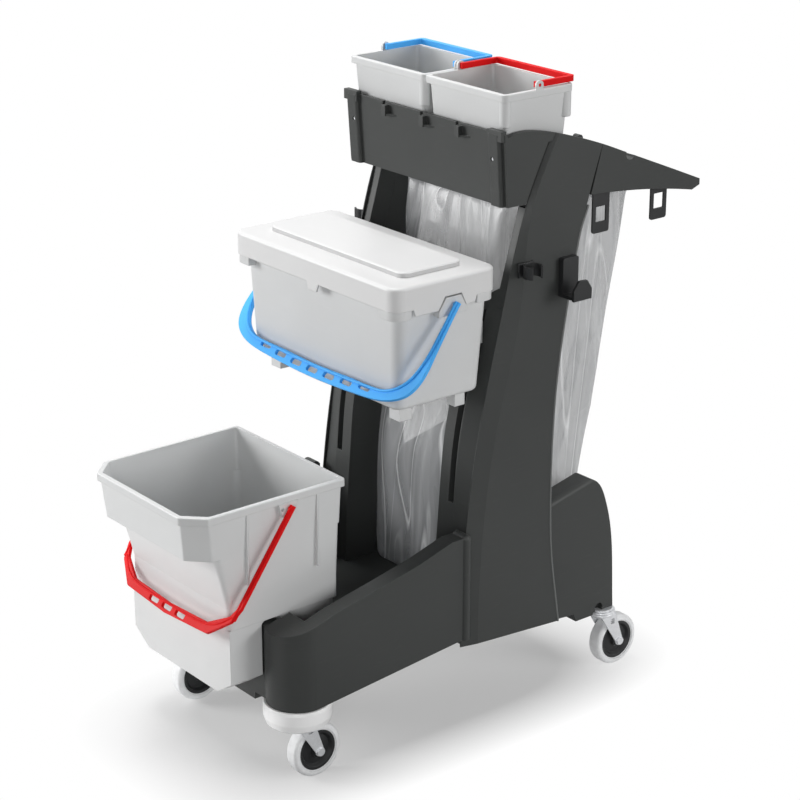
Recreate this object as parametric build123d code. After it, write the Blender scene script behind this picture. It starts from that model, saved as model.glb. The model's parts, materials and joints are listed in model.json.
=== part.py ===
"""Double mop bucket trolley: wheeled base, two uprights, tray, mop box, buckets and waste bag.

Millimetres, +X to the trolley's right, +Y to its rear, +Z up.  The sizes below measure Y from
the front of the large bucket's rim and Z from a level just above the floor; save() moves every
piece so that the origin is on the floor under the middle of the whole trolley.
"""
from build123d import *
import os

# Whole trolley
LENGTH = 1083.0
MIDDLE = LENGTH / 2
FLOOR = -5.0            # where the wheels stand
RUNNING = 0.08          # radial clearance of a pin that turns in a hole
LOOSE = 0.3             # gap between curved pieces that pass each other
SEAM = 0.6              # gap between two panels that meet
OVERSHOOT = 70.0        # how far an outline is carried on before the top edge trims it
SIDES = (("left", -1), ("right", 1))

# Castors
WHEEL_R = 50.0
AXLE_Z = FLOOR + WHEEL_R
TYRE_WIDTH = 28.0
HUB_R = 37.5
TRAIL = 32.0
FRONT_AXIS = (180.0, 193.0)
REAR_AXIS = (194.0, 894.0)
MOUNT_Z = 120.0         # underside of the base where a castor is bolted on
BOLT_R = 6.0
BOLT_TOP = 158.0
AXLE_R = 5.0
RACEWAY_R = 27.0
FORK_GAP = 17.0         # wheel centre plane to the inside of a fork leg
FORK_SHEET = 3.0

# Base
WALL_OUT = 235.0        # outer face of the front side walls
WALL_IN = 203.0
WALL_BOTTOM = 151.0
WALL_END = 531.0
WALL_END_BOTTOM = 181.0
CORNER_R = WALL_OUT - FRONT_AXIS[0]
CORNER_TOP = 306.0
LEDGE = ((490, 378), (417, 356.5), (330, 337.5), (234, 318), (FRONT_AXIS[1], CORNER_TOP))
CORNER_FALL = 0.29      # slope of the corner's top towards the front
BEAD_R = 9.0            # rolled edge round the rear end of a side wall
FRONT_WALL = (149.0, 172.0)
FRONT_WALL_TOP = 290.0
FLOOR_TOP = 200.0
FLOOR_SHEET = 10.0
RAIL_IN = 165.0
RAIL_OUT = 206.0
RAIL_TOP = 300.0
FOOT_Z = 115.0          # underside beside the rear castors
BUMPER_R = 60.0
BUMPER_BOTTOM = 109.0
PAD_R = 44.0
MOULDING = 5.0          # wall thickness of the hollow base

# Uprights: side outlines as (Y, Z)
COVER_IN = 207.0
COVER_OUT = 217.0
POST_IN = 130.0
POST_OUT = 206.0
POST_WALL = 4.0
POST_DEPTH = 72.0
POST_TOP = 800.0
POST_RECESS = 1.5
POST_FRONT = ((534, 190), (539.5, 322), (547, 420), (557, 525), (572, 600), (597, 690), (632, 810))
POST_FLAT = 172.0       # the post's front is flat up to here, then falls back to the cover's edge
STRIP_IN = 188.0
BEVEL = 34.0
BEVEL_AT_TRAY = 8.0
BEVEL_DROP = 8.0
STRIP_TOP = 940.0
STRIP_DEPTH = 40.0
SLOT_X = 162.0
SLOT_WIDTH = 14.0
SLOT_SPAN = (415.0, 760.0)
FRONT_EDGE = ((533, 152), (538, 322), (571, 558), (622, 775), (673, 952), (717, 1045))
REAR_EDGE = ((762, 138), (737, 330), (742, 597), (783, 847), (838, 1029))
TOP_EDGE = ((612, 1069), (648, 1077), (705, 1070.5), (775, 1051), (838, 1029), (896, 1005), (984, 968.5),
            (LENGTH, 927))

# Rear arms and bag frame
ARM_IN = 192.0
ARM_SHEET = 4.0
ARM_SEAM = ((813, 942), (838, 1029))
ARM_BOTTOM = ((1064, 909), (936, 931), (813 + SEAM, 942))
ARM_END_Z = 916.0
ARM_NOTCH = (906, 1001)
ARM_NOTCH_R = 11.0
FRAME_R = 6.0
FRAME_Z = 950.0
FRAME_FRONT = 694.0
FRAME_REAR = 982.0
FRAME_HALF = 184.0

# Tray
TRAY_OUT = 216.5
TRAY_TOP = 1078.0
TRAY_BOTTOM = 951.0
TRAY_FLOOR = 1010.0
TRAY_REAR = 795.0
TRAY_WALL = 4.0
TRAY_LEAN = 9.0         # the front's lower edge stands this far behind its upper edge
TRAY_FRONT = 612.0
TRAY_PLATE = 6.0
GROOVE_WIDTH = 10.0     # groove in the tray's side along the seam with the cover
GROOVE_DEPTH = 8.0
GROOVE_TOP = 1052.0
TRAY_HOOKS = (-103.0, 2.0, 98.0)
COLUMN_X = 194.0
COLUMN_SCREW_Z = 1033.0

# Bails of the large bucket and the mop box
BAIL_DEPTH = 6.0

# Large bucket
RIM_Z = 520.0
RIM_SKIRT = 14.0
RIM_HALF = 160.0
RIM_BACK = 316.0
PAIL_WALL = 3.0
PAIL_SHELF_Z = 438.0    # underside of the broad front band
PAIL_WAIST_Z = 338.0
PAIL_NOTCH_Z = 300.0    # top of the notch that sits over the base's front wall
PAIL_NOTCH = ((142, 286), (144.2, 293), (148, 297.8), (156, 300.5), (156, 302), (142, 302))
PAIL_LEG_Z = 172.0
PAIL_FRONT = 78.0
PAIL_BAIL_X = 164.0
PAIL_PIVOT = (196.0, 498.0)
PAIL_PIN_R = 3.5
PAIL_PIN_X = PAIL_BAIL_X - 9
PAIL_SLOT = (28.0, 11.0, 4.0)
PAIL_SLOTS = (-40.0, 0.0, 40.0)
PAIL_GRIP = 245.5       # pivot to the row of slots
PAIL_HANG = 35.5        # degrees forward of hanging straight down

# Mop box
LID_HALF = 231.0
LID_SPAN = (365.0, 590.0)
LID_TOP = 859.5
LID_SKIRT_Z = 818.0
LID_WALL = 3.0
LID_SIDE = ((405.5, 819), (410, 806), (538, 806), (542.5, 819))
PLATEAU = 9.5
BOSS_GAP = 2.2
BOX_BOTTOM = 634.0
BOX_RIM = 846.0
BOX_WALL = 3.0
BOX_PIVOT = (493.0, 811.0)
BOX_PIN_R = 4.0
BOX_BAIL_X = 233.5
BOX_HANG = 39.3
BOX_BAIL_OUTER = ((242, -5), (247, 50), (252.5, 96), (256, 132), (245, 171), (210, 194), (142, 205),
                  (0, 210))
BOX_BAIL_INNER = ((BOX_BAIL_X, -5), (238, 50), (240, 108), (228, 151), (193, 178), (130, 184), (0, 186.5))
BOX_SLOT = (30.0, 10.0, 4.5)
BOX_SLOTS = (-142.0, -94.5, -47.0, 0.0, 47.0, 94.5, 142.0)
BOX_GRIP = 198.0        # pivot to the middle slot
BOX_GRIP_BOW = 8.0
BOX_FOOT_Z = 606.0
BOX_FEET = ((172, 14, 412, 438), (178, 10, 532, 554))
HANGER_Z = 690.0

# Small buckets
TUB_RIM = 1143.5
TUB_SKIRT = 13.0
TUB_SIZE = (209.0, 157.0)
TUB_CENTRE = (105.6, 694.5)
TUB_WALL = 2.5
TUB_PIVOT_Z = 1150.5
TUB_PIN_R = 3.0
TUB_BAIL_TAIL = 4.0     # how far the bail's arms run past the pivot
TUB_POST_Z = 1086.0

# Accessories
CLIP_CENTRE = (664.0, 836.0)
CLIP_R = 17.0
CLIP_BORE = 13.5        # for a 27 mm handle
HOOK_SPAN = (741.0, 779.0)
HOOK_LEVELS = (772.0, 842.0)
HOOK_REACH = 45.0
PLATE_X = 205.0
BAG_WALL = 1.0
BAG_SECTIONS = ((202, 120, 120, 598, 868), (450, 121, 132, 602, 905), (620, 117, 141, 638, 930),
                (940, 136, 172, 692, 976))


def save(name, *solids):
    """Write one node, moved into the trolley's own frame."""
    shapes = [Pos(0, -MIDDLE, -FLOOR) * solid for solid in solids]
    shape = shapes[0] if len(shapes) == 1 else Compound(children=shapes)
    export_step(shape, f"parts/{name}.step")


def block(x0, x1, y0, y1, z0, z1):
    """Box between two corners."""
    return Pos((x0 + x1) / 2, (y0 + y1) / 2, (z0 + z1) / 2) * Box(x1 - x0, y1 - y0, z1 - z0)


def post_z(radius, x, y, z0, z1):
    """Upright cylinder."""
    return Pos(x, y, (z0 + z1) / 2) * Cylinder(radius, z1 - z0)


def rod_x(radius, x0, x1, y, z):
    """Cylinder lying across the trolley."""
    return Pos((x0 + x1) / 2, y, z) * Rot(0, 90, 0) * Cylinder(radius, abs(x1 - x0))


def rod_y(radius, x, y0, y1, z):
    """Cylinder lying along the trolley."""
    return Pos(x, (y0 + y1) / 2, z) * Rot(90, 0, 0) * Cylinder(radius, y1 - y0)


def polygon(*points):
    """Flat face with straight sides."""
    return make_face(Polyline(*points, close=True))


def side_plate(face, x0, x1):
    """Face drawn as (Y, Z), thickened from x0 to x1."""
    return extrude(Plane.YZ.offset(x0) * face, x1 - x0)


def front_plate(face, y0, y1):
    """Face drawn as (X, Z), thickened from y0 to y1."""
    return extrude(Plane.XZ.offset(-y1) * face, y1 - y0)


def plan_plate(face, z0, z1):
    """Face drawn as (X, Y), thickened from z0 to z1."""
    return extrude(Pos(0, 0, z0) * face, z1 - z0)


def rounded(x0, x1, y0, y1, radius):
    """Rounded rectangle in plan."""
    return Pos((x0 + x1) / 2, (y0 + y1) / 2) * RectangleRounded(x1 - x0, y1 - y0, radius)


def tapered(low, z0, high, z1):
    """Straight-sided solid between two plan faces."""
    return loft([Pos(0, 0, z0) * low, Pos(0, 0, z1) * high], ruled=True)


def mirrored(solid):
    """The same piece on the other side of the trolley."""
    return mirror(solid, about=Plane.YZ)


def on_side(side, solid):
    """A piece drawn on the right, or its mirror image on the left."""
    return solid if side > 0 else mirrored(solid)


def paired(solid):
    """A right-hand feature together with its left-hand twin."""
    return solid + mirrored(solid)


def edge_y(points, z):
    """Y on a side outline at height z, between its two nearest points."""
    for (y0, z0), (y1, z1) in zip(points, points[1:]):
        if z0 <= z <= z1:
            return y0 + (y1 - y0) * (z - z0) / (z1 - z0)
    raise ValueError(z)


def closed_face(*runs):
    """Face bounded by splines, or lines where a run has two points, joined by straight lines."""
    edges = []
    for run, following in zip(runs, (*runs[1:], runs[0])):
        edges.append(Spline(*run) if len(run) > 2 else Line(*run))
        if run[-1] != following[0]:
            edges.append(Line(run[-1], following[0]))
    return make_face(edges)


def above_top():
    """Everything over the sweeping top edge that tray, covers and arms share."""
    ceiling = 1200
    return closed_face(TOP_EDGE, ((LENGTH + 5, ceiling), (600, ceiling)))


# Castors
def castor_head(x, y):
    """Upper raceway cup, bolted flat against the base."""
    cup = post_z(RACEWAY_R, x, y, 111, 116)
    cup = fillet(cup.edges().filter_by(GeomType.CIRCLE), 2)
    cup += post_z(RACEWAY_R - 5, x, y, 115, MOUNT_Z)
    return cup - post_z(BOLT_R + LOOSE, x, y, 100, 130)


def castor_bolt(x, y):
    """Kingpin bolt: its head is under the fork crown and its shank runs up into the base."""
    return post_z(BOLT_R, x, y, 102, BOLT_TOP) + post_z(11, x, y, 101, 104)


def castor_fork(x, y):
    """Pressed fork: a lower raceway crown with two tapering legs and a window in each."""
    axle_y = y + TRAIL
    fork = post_z(RACEWAY_R - 2, x, y, 104.5, 110.5)
    fork = fillet(fork.edges().filter_by(GeomType.CIRCLE), 2)
    fork -= post_z(BOLT_R + RUNNING, x, y, 100, 112)
    leg = polygon((y - 17, 108), (y + 20, 108), (axle_y + 9, AXLE_Z), (axle_y - 9, AXLE_Z))
    leg += Pos(axle_y, AXLE_Z) * Circle(9)
    leg -= Pos(y + 13, 91) * Rectangle(9, 11)
    leg -= Pos(axle_y, AXLE_Z) * Circle(AXLE_R)
    for side in (-1, 1):
        middle = x + side * (FORK_GAP + FORK_SHEET / 2)
        fork += side_plate(leg, middle - FORK_SHEET / 2, middle + FORK_SHEET / 2)
    return fork


def castor_axle(x, y):
    """Axle bolt through both fork legs, with a low round head outside each."""
    reach = FORK_GAP + FORK_SHEET
    axle = rod_x(AXLE_R, x - reach, x + reach, y + TRAIL, AXLE_Z)
    for side in (-1, 1):
        axle += rod_x(7.5, x + side * reach, x + side * (reach + 3.5), y + TRAIL, AXLE_Z)
    return axle


def castor_hub(x, y):
    """Dished wheel centre that turns on the axle."""
    half = TYRE_WIDTH / 2
    bore = AXLE_R + RUNNING
    upper = ((bore, half + 1.5), (12, half + 1.5), (13, half - 5), (28, half - 8), (32, half - 2),
             (HUB_R, half - 2))
    lower = tuple((radius, -height) for radius, height in reversed(upper))
    wheel = revolve(Plane.XZ * polygon(*upper, *lower), Axis.Z)
    return Pos(x, y + TRAIL, AXLE_Z) * Rot(0, 90, 0) * wheel


def castor_tyre(x, y):
    """Grey rubber tread moulded round the wheel centre."""
    half = TYRE_WIDTH / 2
    ring = Cylinder(WHEEL_R, TYRE_WIDTH)
    ring = fillet(ring.edges().filter_by(GeomType.CIRCLE), 7)
    ring -= Cylinder(HUB_R, TYRE_WIDTH + 2)
    for side in (-1, 1):
        ring -= Pos(0, 0, side * half) * Cylinder(HUB_R + 2, 3)
    return Pos(x, y + TRAIL, AXLE_Z) * Rot(0, 90, 0) * ring


# Base
def base_wall():
    """Front side wall: broad rising ledge on top, rising underside, rolled rear end."""
    foot = ((FRONT_AXIS[1], WALL_BOTTOM), (506, WALL_END_BOTTOM), (WALL_END, WALL_END_BOTTOM))
    wall = side_plate(polygon(*foot, (WALL_END, LEDGE[0][1]), *LEDGE), WALL_IN, WALL_OUT)
    pocket = polygon((262, 100), (518, 100), (518, 364), (490, 364), (262, 314))
    wall -= side_plate(pocket, WALL_IN + MOULDING, WALL_OUT - MOULDING)
    x = WALL_OUT - 4
    y = WALL_END - BEAD_R + 1
    z = LEDGE[0][1] - 4
    bead = post_z(BEAD_R, x, y, WALL_END_BOTTOM, z) + rod_x(BEAD_R, WALL_IN + 2, x, y, z)
    return wall + bead + Pos(x, y, z) * Sphere(BEAD_R)


def base_corner():
    """Rounded front corner about the castor axis, cut back where the bucket stands."""
    x, y = FRONT_AXIS
    corner = post_z(CORNER_R, x, y, WALL_BOTTOM, CORNER_TOP)
    corner &= block(100, WALL_OUT, 100, y, 100, 400)
    corner -= block(100, 160, 176, 200, FLOOR_TOP, 400)
    corner -= block(100, 157, 100, y + 1, 294, 400)
    front = y - CORNER_R - 10
    front_top = CORNER_TOP - CORNER_FALL * (y - front)
    fall = polygon((y, CORNER_TOP), (front, front_top), (front, CORNER_TOP + 10), (y, CORNER_TOP + 10))
    return corner - side_plate(fall, 100, WALL_OUT + 1)


def base_rail():
    """Rail under an upright, ending in the tall rounded hump over the rear castor."""
    hump = closed_face(((862, MOUNT_Z), (912, MOUNT_Z)),
                       ((912, MOUNT_Z + 4), (908, 205), (895, 310), (885, 344), (866, 382), (845, 396)),
                       ((735, 371), (735, RAIL_TOP)),
                       ((500, RAIL_TOP), (500, 182)),
                       ((540, 153), (812, 131)),
                       ((818, FOOT_Z), (862, FOOT_Z)))
    rail = side_plate(hump, RAIL_IN, RAIL_OUT)
    crown = [e for e in rail.edges() if e.center().X > RAIL_OUT - 1 and e.center().Z > 380]
    rail = fillet(crown, 10)
    rail -= rod_x(10, RAIL_OUT - 12, RAIL_OUT + 1, 876, MOUNT_Z + 6)
    pocket = polygon((560, 100), (815, 100), (830, 180), (830, 376), (745, 356), (745, RAIL_TOP - 8),
                     (560, RAIL_TOP - 8))
    return rail - side_plate(pocket, RAIL_IN + MOULDING, RAIL_OUT - MOULDING)


def base_chassis():
    """One moulding: front tub for the large bucket, rails under the uprights, rear humps."""
    x, y = FRONT_AXIS
    pad = post_z(PAD_R, x, y, MOUNT_Z, FLOOR_TOP - 1)
    side = base_wall() + base_corner() + base_rail() + pad
    side += block(RAIL_OUT - 5, WALL_IN + 5, y, WALL_END, FLOOR_TOP - FLOOR_SHEET, FLOOR_TOP)
    base = paired(side)
    base += block(-RAIL_OUT, RAIL_OUT, FRONT_WALL[0] + 5, 900, FLOOR_TOP - FLOOR_SHEET, FLOOR_TOP)
    base += block(-160, 160, *FRONT_WALL, WALL_BOTTOM, FRONT_WALL_TOP)
    base += block(-116, 116, *FRONT_WALL, 138, WALL_BOTTOM)
    base += block(-RAIL_IN - 2, RAIL_IN + 2, 884, 894, FLOOR_TOP - FLOOR_SHEET, 262)
    for axis in (FRONT_AXIS, REAR_AXIS):
        base -= paired(post_z(BOLT_R + LOOSE, *axis, MOUNT_Z - 1, BOLT_TOP + 3))
    return base


def front_bumper():
    """Thick grey collar round the front castor mount, drawn in towards its underside."""
    bore = PAD_R + LOOSE
    low = ((bore, BUMPER_BOTTOM), (BUMPER_R - 11, BUMPER_BOTTOM), (BUMPER_R - 4, BUMPER_BOTTOM + 5))
    high = ((BUMPER_R, BUMPER_BOTTOM + 17), (BUMPER_R, WALL_BOTTOM - 6), (BUMPER_R - 2, WALL_BOTTOM))
    profile = polygon(*low, *high, (bore, WALL_BOTTOM))
    return Pos(*FRONT_AXIS, 0) * revolve(Plane.XZ * profile, Axis.Z)


# Uprights
def post_face(front, depth, skin):
    """Side view of a post behind a front line, with an even depth."""
    near = [(y + skin, z) for y, z in front]
    return closed_face(near, [(y + depth, z) for y, z in reversed(near)])


def ahead_of(line, x):
    """Everything in front of a side outline, as a face at x."""
    far = 450
    return Plane.YZ.offset(x) * closed_face(line, ((far, line[-1][1]), (far, line[0][1])))


def shaved(x0, line0, x1, line1):
    """Wedge in front of two side outlines, to cut a slanting front between them."""
    return loft([ahead_of(line0, x0), ahead_of(line1, x1)], ruled=True)


def upright_post():
    """Hollow post open at the back, with a long slot that the box hanger hooks into."""
    body = side_plate(post_face(POST_FRONT, POST_DEPTH, 0), POST_IN, POST_OUT)
    post = body & block(0, 400, 0, 900, FLOOR_TOP, POST_TOP)
    beside = [(edge_y(FRONT_EDGE, z) + POST_RECESS, z) for _, z in POST_FRONT]
    post -= shaved(POST_FLAT, POST_FRONT, POST_OUT + 0.1, beside)
    post -= block(RAIL_IN, POST_OUT + 5, 400, 900, 100, RAIL_TOP)
    hollow = post_face(POST_FRONT, POST_DEPTH + 20, POST_WALL + 14)
    inside = side_plate(hollow, POST_IN + POST_WALL, POST_OUT - POST_WALL)
    post -= inside & block(0, 400, 0, 900, RAIL_TOP + POST_WALL, POST_TOP - POST_WALL)
    low = side_plate(hollow, POST_IN + POST_WALL, RAIL_IN - POST_WALL)
    post -= low & block(0, 400, 0, 900, FLOOR_TOP + POST_WALL, RAIL_TOP + 2 * POST_WALL)
    slot = block(SLOT_X - SLOT_WIDTH / 2, SLOT_X + SLOT_WIDTH / 2, 500, 655, *SLOT_SPAN)
    post -= slot & side_plate(post_face(POST_FRONT, 36, -10), POST_IN, POST_OUT)
    front = [(edge_y(FRONT_EDGE, z) + POST_RECESS, z) for z in (POST_TOP - 30, 860, STRIP_TOP)]
    strip = side_plate(post_face(front, STRIP_DEPTH, 0), STRIP_IN, POST_OUT)
    shoulder = polygon((POST_IN - 1, POST_TOP + 1), (STRIP_IN, POST_TOP + 1), (POST_IN - 1, 762))
    return post + strip - front_plate(shoulder, 500, 800)


def cover_front():
    """Front edge of the cover, carried on past the tray seam to above the top edge."""
    (y0, z0), (y1, z1) = FRONT_EDGE[-2:]
    return (*FRONT_EDGE, (y1 + OVERSHOOT * (y1 - y0) / (z1 - z0), z1 + OVERSHOOT))


def cover_outline(x, setback, setback_at_tray):
    """Side view of the panel at x, from the set-back front edge to the seam with the arm."""
    front = [(y + (setback if z < TRAY_BOTTOM else setback_at_tray), z) for y, z in cover_front()]
    (y0, z0), (y1, z1) = ARM_SEAM
    rear_top = (y1 + OVERSHOOT * (y1 - y0) / (z1 - z0), z1 + OVERSHOOT)
    return Plane.YZ.offset(x) * closed_face(front, (rear_top, REAR_EDGE[-1]), REAR_EDGE[::-1])


def upright_cover():
    """Tall side panel with a broad soft bevel along its front edge."""
    shoulder = COVER_OUT - BEVEL_DROP
    panel = extrude(cover_outline(COVER_IN, 0, 0), shoulder - COVER_IN)
    panel += loft([cover_outline(shoulder, 0, 0), cover_outline(COVER_OUT, BEVEL, BEVEL_AT_TRAY)], ruled=True)
    return panel - side_plate(above_top(), COVER_IN - 5, COVER_OUT + 5)


def handle_clip():
    """Springy C clip for a mop handle, on a small back plate."""
    y, z = CLIP_CENTRE
    x = COVER_OUT + CLIP_R + 2
    clip = post_z(CLIP_R, x, y, z - 11, z + 11)
    clip -= plan_plate(polygon((x, y), (x + 40, y - 34), (x + 40, y + 34)), z - 12, z + 12)
    clip += block(COVER_OUT, COVER_OUT + 4, y - 18, y + 15, z - 13, z + 13)
    clip += block(COVER_OUT, COVER_OUT + 7, y - 8, y + 8, z - 11, z + 11)
    return clip - post_z(CLIP_BORE, x, y, z - 14, z + 14)


def accessory_hook():
    """Back plate, shelf and pointed upturned lip."""
    y0, y1 = HOOK_SPAN
    z0, z1 = HOOK_LEVELS
    x = COVER_OUT
    hook = block(x, x + 12, y0, y1 - 2, z0, z1)
    hook = fillet(hook.edges().filter_by(Axis.X), 4)
    hook += block(x, x + HOOK_REACH, y0, y1 - 2, z0, z0 + 6)
    lip = polygon((y0 - 4, z0), (y1, z0), (y1, z0 + 19), (y1 - 11, z0 + 35), (y0 + 9, z0 + 36),
                  (y0 - 4, z0 + 19))
    return hook + side_plate(lip, x + HOOK_REACH - 5, x + HOOK_REACH)


# Tray
def tray_wing():
    """Side wall from the front corner back to the slanting seam with the cover."""
    seam = [(y - SEAM, z) for y, z in cover_front()]
    behind = closed_face(seam, ((900, seam[-1][1]), (900, seam[0][1])))
    foot = TRAY_FRONT + TRAY_LEAN
    outline = polygon((TRAY_FRONT, 1100), (760, 1100), (760, TRAY_BOTTOM), (foot, TRAY_BOTTOM))
    wing = side_plate(outline - behind - above_top(), POST_OUT - 1, TRAY_OUT)
    strip = closed_face([(y - GROOVE_WIDTH, z) for y, z in seam], seam[::-1])
    groove = side_plate(strip, TRAY_OUT - GROOVE_DEPTH, TRAY_OUT + 1)
    return wing - (groove & block(0, 300, 600, 900, TRAY_BOTTOM - 1, GROOVE_TOP))


def tray():
    """Open tray for the small buckets: leaning front, two front columns, raised floor."""
    behind = TRAY_FRONT + TRAY_PLATE
    front = polygon((TRAY_FRONT, TRAY_TOP), (behind, TRAY_TOP), (behind + TRAY_LEAN, TRAY_BOTTOM),
                    (TRAY_FRONT + TRAY_LEAN, TRAY_BOTTOM))
    body = side_plate(front, -TRAY_OUT, TRAY_OUT) + paired(tray_wing())
    wall = polygon((behind - 2, 1062), (722, 1062), (TRAY_REAR, 1034), (TRAY_REAR, TRAY_FLOOR - TRAY_WALL),
                   (behind + 2, TRAY_FLOOR - TRAY_WALL))
    body += side_plate(wall, -POST_OUT, POST_OUT)
    inside = POST_OUT - TRAY_WALL
    body -= block(-inside, inside, behind + TRAY_LEAN / 2, TRAY_REAR - TRAY_WALL, TRAY_FLOOR, 1200)
    column = polygon((604, TRAY_TOP - 1), (614, TRAY_TOP - 1), (614 + TRAY_LEAN, TRAY_BOTTOM),
                     (604 + TRAY_LEAN, TRAY_BOTTOM))
    post = side_plate(column, COLUMN_X - 15, COLUMN_X + 15)
    post = fillet(post.edges().filter_by(lambda e: e.length > 100).group_by(Axis.Y)[0], 6)
    body += post + mirrored(post)
    body += paired(block(COLUMN_X - 15, TRAY_OUT - 1, 605, 616, TRAY_TOP - 12, TRAY_TOP + 6))
    body -= paired(rod_y(3.4, COLUMN_X - 4, 590, 618, COLUMN_SCREW_Z))
    for x in TRAY_HOOKS:
        body += block(x - 2, x + 9, 603, 615, 1055, 1074)
        body += plan_plate(polygon((x + 8, 604), (x + 8, 616), (x + 34, 616)), 1056, 1059)
        body -= block(x - 9, x - 2, 600, behind + 1, 1052, TRAY_TOP + 1)
    return body


# Rear arms
def arm_face(skin=0):
    """Side view of an arm behind its seam with the cover, or of its pocket when skin is given."""
    (y0, z0), (y1, z1) = ARM_SEAM
    start = y1 + SEAM + skin
    seam_top = (start + OVERSHOOT * (y1 - y0) / (z1 - z0), z1 + OVERSHOOT)
    bottom = [(y, z + skin) for y, z in ARM_BOTTOM[:-1]]
    bottom.append((ARM_BOTTOM[-1][0] + skin, ARM_BOTTOM[-1][1] + skin))
    end = LENGTH - skin
    outline = closed_face(bottom, (seam_top, (end, z1 + OVERSHOOT)), ((end, ARM_END_Z + skin), bottom[0]))
    return outline - Pos(0, -skin) * above_top() - Pos(*ARM_NOTCH) * Circle(ARM_NOTCH_R + skin)


def rear_arm():
    """Hollow arm with a tongue that is screwed behind the cover."""
    arm = side_plate(arm_face(), ARM_IN, COVER_OUT)
    arm -= side_plate(arm_face(ARM_SHEET), ARM_IN - 1, COVER_OUT - ARM_SHEET)
    tongue = polygon((797, 962), (830, 962), (838, 1006), (800, 1014))
    return arm + side_plate(tongue, COVER_IN - 8, COVER_IN)


def arm_screw(y, z):
    """Pan head screw on the inside of an arm's tongue."""
    screw = rod_x(5, COVER_IN - 11, COVER_IN - 8, y, z)
    return fillet(screw.edges().filter_by(GeomType.CIRCLE).group_by(Axis.X)[0], 1.5)


def hanger_plate(y0):
    """Flat hanging plate with a square window, under an arm."""
    plate = polygon((y0, 960), (y0 + 40, 960), (y0 + 40, 866), (y0, 866))
    plate = fillet(plate.vertices().group_by(Axis.Y)[0], 5)
    plate -= Pos(y0 + 20, 900) * RectangleRounded(24, 28, 1.5)
    plate -= arm_face()
    plate = plate.faces().sort_by(Axis.Y)[0]
    return side_plate(plate, PLATE_X, PLATE_X + 3)


def bag_frame():
    """Round bar frame that holds the bag open, on pegs from the covers and arms."""
    frame = rod_x(FRAME_R, -FRAME_HALF, FRAME_HALF, FRAME_FRONT, FRAME_Z)
    frame += rod_x(FRAME_R, -FRAME_HALF, FRAME_HALF, FRAME_REAR, FRAME_Z)
    side = rod_y(FRAME_R, FRAME_HALF, FRAME_FRONT, FRAME_REAR, FRAME_Z)
    for y in (FRAME_FRONT, FRAME_REAR):
        side += Pos(FRAME_HALF, y, FRAME_Z) * Sphere(FRAME_R)
    side += rod_x(4, FRAME_HALF, COVER_IN, 724, FRAME_Z)
    side += rod_x(4, FRAME_HALF, COVER_OUT - ARM_SHEET, 960, FRAME_Z)
    return frame + paired(side)


def bag_clip():
    """Clip that grips the bag on the rear bar, with a round thumb tab."""
    clip = rod_x(FRAME_R + 3.5, -9, 9, FRAME_REAR, FRAME_Z)
    tab = polygon((FRAME_REAR - 5, FRAME_Z), (FRAME_REAR + 5, FRAME_Z), (FRAME_REAR + 4, 976),
                  (FRAME_REAR - 4, 976))
    tab += Pos(FRAME_REAR, 976) * Circle(7)
    clip += side_plate(tab, -7, 7)
    clip -= rod_x(FRAME_R + LOOSE, -12, 12, FRAME_REAR, FRAME_Z)
    return clip - block(-12, 12, FRAME_REAR - 4, FRAME_REAR + 4, FRAME_Z - 20, FRAME_Z)


def waste_bag():
    """Hanging film bag: wider and further back at the mouth, open on top."""
    def section(z, front_half, rear_half, front, rear, skin):
        outline = polygon((-front_half + skin, front + skin), (front_half - skin, front + skin),
                          (rear_half - skin, rear - skin), (-rear_half + skin, rear - skin))
        return Pos(0, 0, z) * fillet(outline.vertices(), 30)

    outer = loft([section(*level, 0) for level in BAG_SECTIONS], ruled=True)
    floor, *others = BAG_SECTIONS
    levels = [(floor[0] + BAG_WALL, *floor[1:]), *others]
    inner = loft([section(*level, BAG_WALL) for level in levels], ruled=True)
    top = BAG_SECTIONS[-1]
    mouth = extrude(section(*top, BAG_WALL), 5)
    return outer - inner - mouth


# Large bucket
def pail_outline(half, front, back, corner, radius):
    """Plan with both front corners cut off."""
    outline = polygon((-half, back), (-half, front + corner), (-half + corner, front), (half - corner, front),
                      (half, front + corner), (half, back))
    return fillet(outline.vertices(), radius)


def pail_solid(skin):
    """Outside of the large bucket, or its inside when skin is the wall thickness."""
    band_top = RIM_Z if skin else RIM_Z - RIM_SKIRT
    band = tapered(pail_outline(152.5 - skin, 12 + skin, 309 - skin, 34, 6), PAIL_SHELF_Z + skin,
                   pail_outline(156 - skin, 5 + skin, 311 - skin, 34, 6), band_top)
    waist = rounded(-150 + skin, 150 - skin, PAIL_FRONT + skin, 306 - skin, 11)
    chest = rounded(-152.5 + skin, 152.5 - skin, 53 + skin, 309 - skin, 11)
    body = band + tapered(waist, PAIL_WAIST_Z, chest, PAIL_SHELF_Z + skin)
    body += plan_plate(waist, PAIL_NOTCH_Z + skin, PAIL_WAIST_Z)
    half = 149 - skin
    toe = 108 - skin / 2
    low = PAIL_LEG_Z + skin
    leg = polygon((-half, PAIL_NOTCH_Z + skin), (half, PAIL_NOTCH_Z + skin), (half, low + 28), (toe, low),
                  (-toe, low), (-half, low + 28))
    body += front_plate(leg, PAIL_FRONT + skin, 143.5 - skin)
    rear = rounded(-148 + skin, 148 - skin, 180 + skin, 303 - skin, 18)
    return body + plan_plate(rear, FLOOR_TOP + skin, PAIL_NOTCH_Z + skin)


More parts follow.
